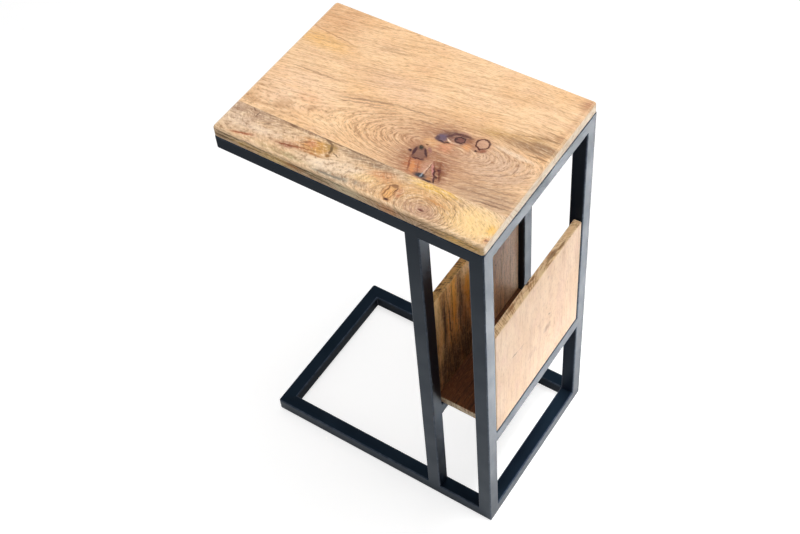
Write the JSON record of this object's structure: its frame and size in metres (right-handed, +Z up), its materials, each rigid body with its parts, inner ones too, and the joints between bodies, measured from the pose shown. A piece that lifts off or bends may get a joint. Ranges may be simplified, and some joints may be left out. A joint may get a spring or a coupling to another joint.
{
  "type": "c shaped side table",
  "caption": "C shaped side table: solid wood top on a black square-tube steel frame that slides over a sofa seat, with a wooden magazine rack between its posts.",
  "frame": {"origin": "on the floor, under the middle of the top", "axes": "+X from the open end of the C towards the posts and rack, -Y the near side in the picture, +Z up"},
  "size_m": [0.406, 0.28, 0.658],
  "materials": {
    "frame_steel": "satin black powder coat",
    "top_wood": "satin clear lacquer",
    "rack_wood": "satin clear lacquer",
    "fasteners": "zinc plated",
    "dowel_wood": "raw",
    "glide_plastic": "matte black"
  },
  "bodies": {
    "root": {"near_top_rail": "frame_steel", "far_top_rail": "frame_steel", "left_top_rail": "frame_steel", "right_top_rail": "frame_steel", "near_base_rail": "frame_steel", "far_base_rail": "frame_steel", "left_base_rail": "frame_steel", "right_base_rail": "frame_steel", "near_corner_post": "frame_steel", "far_corner_post": "frame_steel", "near_inner_post": "frame_steel", "far_inner_post": "frame_steel", "rack_outer_rail": "frame_steel", "rack_inner_rail": "frame_steel", "near_left_plate": "frame_steel", "near_right_plate": "frame_steel", "far_left_plate": "frame_steel", "far_right_plate": "frame_steel", "top_wide_board": "top_wood", "top_narrow_board": "top_wood", "rack_outer_panel": "rack_wood", "rack_inner_panel": "rack_wood", "rack_floor": "rack_wood", "top_screws": "fasteners", "rack_screws": "fasteners", "rack_dowels": "dowel_wood", "near_left_glide": "glide_plastic", "near_right_glide": "glide_plastic", "far_left_glide": "glide_plastic", "far_right_glide": "glide_plastic"}
  },
  "joints": []
}
